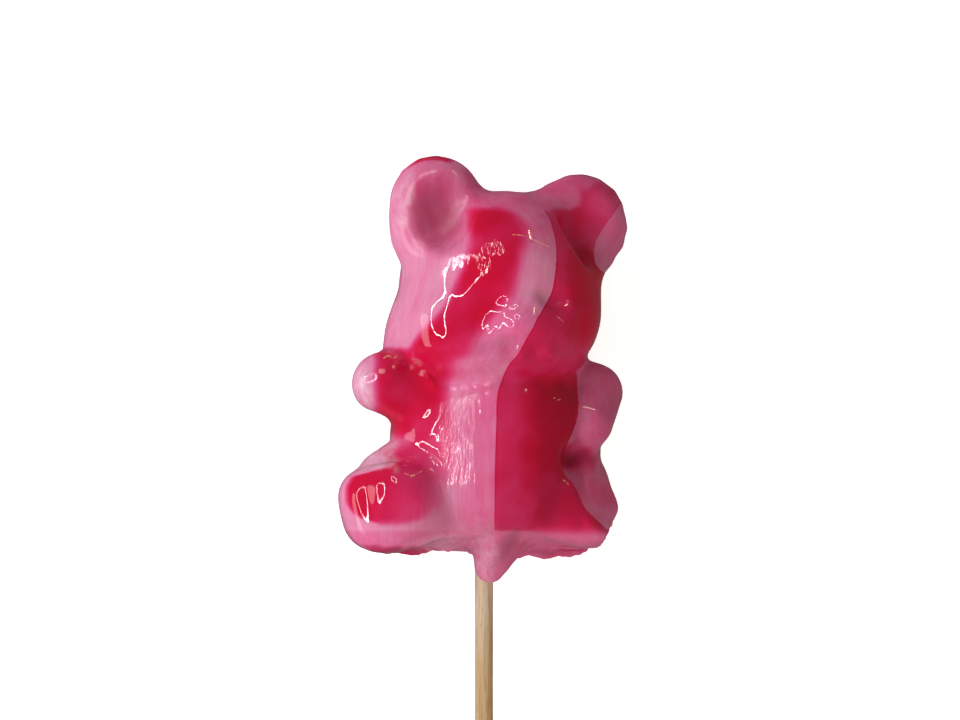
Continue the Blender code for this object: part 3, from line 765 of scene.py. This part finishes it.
# painted glint: golden hairlines mixed into the colour along the drawn lines
painted_glint_line = m.math("SUBTRACT", 1.0, m.step(m.math("ABSOLUTE", m.attribute("painted_glint")), 0.05, 0.13))
painted_glint_line = m.math("MULTIPLY", painted_glint_line, m.math("SUBTRACT", 1.0, m.step(m.attribute("painted_glint_past"), -0.1, 0.1)))
painted_glint_line = m.math("MULTIPLY", painted_glint_line, m.step(m.noise(plain, 3.2, 1.0), 0.42, 0.56))
sugar_colour = m.blend(m.math("MULTIPLY", painted_glint_line, 0.8), sugar_colour, (1.0, 0.62, 0.30, 1.0))
m.link(sugar_colour, m.bsdf.inputs["Base Color"])
sparkling = m.attribute("sparkle")
gloss = m.math("MULTIPLY_ADD", m.noise(plain, 1.3, 3.0), 0.03, 0.01)
gloss = m.math("MULTIPLY_ADD", m.attribute("matte"), 0.50, gloss)
m.link(gloss, m.bsdf.inputs["Roughness"])
# skin: fine scratches along the flow, pits and ripples
scratch = m.noise(m.vector(across, m.math("MULTIPLY", along, 0.14), depth), 2.3, 1.0, 0.5)
ripple = m.noise(plain, 0.8, 1.0, 0.5)
height = m.math("MULTIPLY", scratch, m.math("MULTIPLY_ADD", sparkling, 2.4, 0.02))
height = m.math("MULTIPLY_ADD", ripple, 0.12, height)
bump = m.new("ShaderNodeBump")
bump.inputs["Strength"].default_value = 1.0
bump.inputs["Distance"].default_value = 0.00006
m.link(height, bump.inputs["Height"])
m.link(bump.outputs["Normal"], m.bsdf.inputs["Normal"])
for key, value in (("IOR", 1.5), ("Coat Weight", 0.0),
                   ("Subsurface Weight", 0.25), ("Subsurface Scale", 0.0015)):
    m.bsdf.inputs[key].default_value = value
m.bsdf.inputs["Subsurface Radius"].default_value = (1.0, 0.25, 0.35)
bear.data.materials.clear()
bear.data.materials.append(m.material)
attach(bear, "root")
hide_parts("candy_bear")

# ---------------------------------------------------------------- stick
SEGMENTS = 96
length = STICK_TOP - STICK_FREE_END
bm = bmesh.new()
bmesh.ops.create_cone(bm, cap_ends=True, cap_tris=False, segments=SEGMENTS, radius1=STICK_RADIUS * MM,
                      radius2=STICK_RADIUS * MM, depth=length * MM)
CUTS = 220
sides = [e for e in bm.edges if abs(e.verts[0].co.z - e.verts[1].co.z) > length * MM / 2]
bmesh.ops.subdivide_edges(bm, edges=sides, cuts=CUTS, use_grid_fill=True)
ends = [f for f in bm.faces if len(f.verts) > 8]
for face in ends:
    inner = bmesh.ops.inset_region(bm, faces=[face], thickness=0.2 * MM, use_even_offset=True)
    for _ in range(3):
        inner = bmesh.ops.inset_region(bm, faces=[face], thickness=0.35 * MM, use_even_offset=True)
rod = bpy.data.meshes.new("stick")
bm.to_mesh(rod)
bm.free()
co = np.empty(len(rod.vertices) * 3)
rod.vertices.foreach_get("co", co)
co = co.reshape(-1, 3) / MM
theta = np.arctan2(co[:, 1], co[:, 0])
rad = np.hypot(co[:, 0], co[:, 1])
y = STICK_FREE_END + (co[:, 2] + length / 2)
ring = np.stack([np.cos(theta) * STICK_RADIUS, np.sin(theta) * STICK_RADIUS, y / 22.0], 1)
fibre = 0.016 * waves(ring, 0.55, 20, 61) + 0.014 * waves(ring, 1.5, 12, 62) + 0.012 * waves(ring / (1, 1, 0.3), 3.0, 8, 63)
end = np.minimum(y - STICK_FREE_END, STICK_TOP - y)
worn = -0.22 * np.clip(1 - end / 0.35, 0, 1) ** 2
outer = smooth((rad / STICK_RADIUS - 0.55) / 0.4)
new_rad = rad + outer * (fibre + worn - 0.03)
x = np.cos(theta) * new_rad
z = np.sin(theta) * new_rad
ragged = (end < 0.05) * (0.06 * waves(np.stack([x, z, x * 0], 1), 0.7, 12, 65) - 0.05)
y = y + np.where(y < 0, -1, 1) * np.minimum(ragged, 0.0)
rod.vertices.foreach_set("co", to_object(np.stack([x, y, z], 1)).ravel())
rod.update()
# face orientation follows the new axis
bm = bmesh.new()
bm.from_mesh(rod)
bmesh.ops.recalc_face_normals(bm, faces=bm.faces)
bm.to_mesh(rod)
bm.free()
rod.shade_smooth()
rod.set_sharp_from_angle(angle=radians(50))
store(rod, "turn", theta)
store(rod, "along", y)
store(rod, "side", np.cos(theta))
store(rod, "front", np.sin(theta))
stick = bpy.data.objects.new("bamboo_stick", rod)
bpy.context.scene.collection.objects.link(stick)

w = Nodes("split_bamboo")
along, side, front = w.attribute("along"), w.attribute("side"), w.attribute("front")
grain = w.vector(w.math("MULTIPLY", side, 1.5), w.math("MULTIPLY", along, 0.035), w.math("MULTIPLY", front, 1.5))
broad = w.noise(grain, 1.1, 3.0, 0.6)
threads = w.noise(grain, 5.0, 3.0, 0.6)
pores = w.noise(w.vector(w.math("MULTIPLY", side, 1.5), w.math("MULTIPLY", along, 0.22), w.math("MULTIPLY", front, 1.5)), 3.6, 2.0)
pale = w.step(along, -24.0, -2.0)
straw = w.blend(pale, (0.62, 0.42, 0.22, 1.0), (0.74, 0.60, 0.44, 1.0))
tone = w.ramp(broad, [(0.25, (0.72, 0.66, 0.58)), (0.5, (1.0, 1.0, 1.0)), (0.78, (1.18, 1.15, 1.10))])
straw = w.blend(1.0, straw, tone, "MULTIPLY")
lines = w.ramp(threads, [(0.30, (0.62, 0.52, 0.42)), (0.46, (1.0, 1.0, 1.0)), (0.70, (1.08, 1.08, 1.08))])
straw = w.blend(0.75, straw, lines, "MULTIPLY")
dark = w.step(pores, 0.68, 0.76)
straw = w.blend(w.math("MULTIPLY", dark, 0.6), straw, (0.22, 0.10, 0.035, 1.0))
w.link(straw, w.bsdf.inputs["Base Color"])
w.link(w.math("MULTIPLY_ADD", threads, 0.3, 0.42), w.bsdf.inputs["Roughness"])
bump = w.new("ShaderNodeBump")
bump.inputs["Strength"].default_value = 1.0
bump.inputs["Distance"].default_value = 0.00006
w.link(w.math("ADD", threads, w.math("MULTIPLY", w.noise(grain, 14.0, 2.0), 0.5)), bump.inputs["Height"])
w.link(bump.outputs["Normal"], w.bsdf.inputs["Normal"])
w.bsdf.inputs["IOR"].default_value = 1.45
rod.materials.append(w.material)
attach(stick, "root")
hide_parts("stick")

# ---------------------------------------------------------------- floor and light
bpy.ops.mesh.primitive_plane_add(size=6.0, location=(0.0, 0.0, 0.0))
floor = bpy.context.active_object
floor.name = "floor"
f = Nodes("floor")
place = f.new("ShaderNodeTexCoord").outputs["Object"]
f.link(f.ramp(f.noise(place, 3.0, 2.0), [(0.3, (0.88, 0.88, 0.88)), (0.7, (0.90, 0.90, 0.90))]),
       f.bsdf.inputs["Base Color"])
f.bsdf.inputs["Roughness"].default_value = 0.9
f.bsdf.inputs["Specular IOR Level"].default_value = 0.0
f.bsdf.inputs["Emission Color"].default_value = (1.0, 1.0, 1.0, 1.0)
f.link(f.math("MULTIPLY", f.new("ShaderNodeLightPath").outputs["Is Camera Ray"], 0.72), f.bsdf.inputs["Emission Strength"])
floor.data.materials.append(f.material)
floor.visible_glossy = False

world = bpy.data.worlds.new("studio")
world.use_nodes = True
world.node_tree.nodes["Background"].inputs["Color"].default_value = (1.0, 0.98, 0.97, 1.0)
world.node_tree.nodes["Background"].inputs["Strength"].default_value = 0.11
bpy.context.scene.world = world

CENTRE = np.array([0.0, 28.0, 4.0])
LAMP_DISTANCE = 400.0


def aim(off, around):
    """Direction from the sweet: off the view axis, and round it from the right, in degrees."""
    a, b = radians(off), radians(around)
    return cos(a) * BACKWARD + sin(a) * (cos(b) * RIGHT + sin(b) * UP)


def lamp(name, place, towards, up, width, height, radiance, colour=(1.0, 1.0, 1.0), mirrored=True):
    """A flat soft lamp; sizes in mm."""
    data = bpy.data.lights.new(name, "AREA")
    data.shape = "RECTANGLE"
    data.size, data.size_y = width * MM, height * MM
    data.energy = radiance * pi * width * height * MM * MM
    data.color = colour
    o = bpy.data.objects.new(name, data)
    back = np.asarray(place, float) - towards
    back /= np.linalg.norm(back)
    right = np.cross(up, back)
    right /= np.linalg.norm(right)
    top = np.cross(back, right)
    o.matrix_world = Matrix.Translation(Vector(to_object(place))) @ Matrix(
        [[right[i], top[i], back[i]] for i in range(3)]).to_4x4()
    bpy.context.scene.collection.objects.link(o)
    o.visible_camera = False
    o.visible_glossy = mirrored
    return o


def window(name, off, around, width, height, strip, radiance, roll=0.0, sides=12, colour=(1.0, 1.0, 1.0)):
    """A rounded frame of light; its angles are those seen from the sweet, in degrees."""
    d = aim(off, around)
    right = np.cross(UP, d)
    right /= np.linalg.norm(right)
    top = np.cross(d, right)
    c = radians(roll)
    right, top = cos(c) * right + sin(c) * top, cos(c) * top - sin(c) * right
    middle = CENTRE + LAMP_DISTANCE * d
    w2, h2 = LAMP_DISTANCE * tan(radians(width / 2)), LAMP_DISTANCE * tan(radians(height / 2))
    thick = LAMP_DISTANCE * tan(radians(strip))
    corners = []
    for k in range(sides):
        a = 2 * pi * (k + 0.5) / sides
        x, y = cos(a), sin(a)
        grow = (abs(x) ** 3.2 + abs(y) ** 3.2) ** (-1 / 3.2)
        corners.append(middle + w2 * x * grow * right + h2 * y * grow * top)
    for k in range(sides):
        a, b = corners[k], corners[(k + 1) % sides]
        bar = lamp(f"{name}_{k}", (a + b) / 2, (a + b) / 2 - d, b - a, thick,
                   float(np.linalg.norm(b - a)), radiance, colour)
        bar.visible_diffuse = False


lamp("key", CENTRE + 420.0 * aim(46.0, 150.0), CENTRE, UP, 300.0, 300.0, 3.75, mirrored=False)
lamp("fill", CENTRE + 420.0 * aim(46.0, 250.0), CENTRE, UP, 300.0, 300.0, 1.2, mirrored=False)
lamp("low_fill", CENTRE + 420.0 * aim(56.0, 305.0), CENTRE, UP, 300.0, 300.0, 2.2, (1.0, 0.90, 0.76), mirrored=False)
lamp("warm_fill", CENTRE + 420.0 * aim(64.0, 20.0), CENTRE, UP, 300.0, 300.0, 0.14, (1.0, 0.84, 0.56), mirrored=False)
lamp("sky", CENTRE + 400.0 * aim(68.0, 178.0), CENTRE, UP, 110.0, 260.0, 3.0)
window("near_window", 44.0, 153.0, 24.0, 30.0, 1.15, 34.0, 20.0)
window("high_window", 46.0, 105.0, 16.0, 12.0, 1.0, 24.0, 0.0)
lamp("warm_strip", CENTRE + 400.0 * aim(68.0, 62.0), CENTRE, UP, 8.0, 90.0, 30.0, (1.0, 0.80, 0.50))

bpy.context.scene.view_settings.view_transform = "Standard"
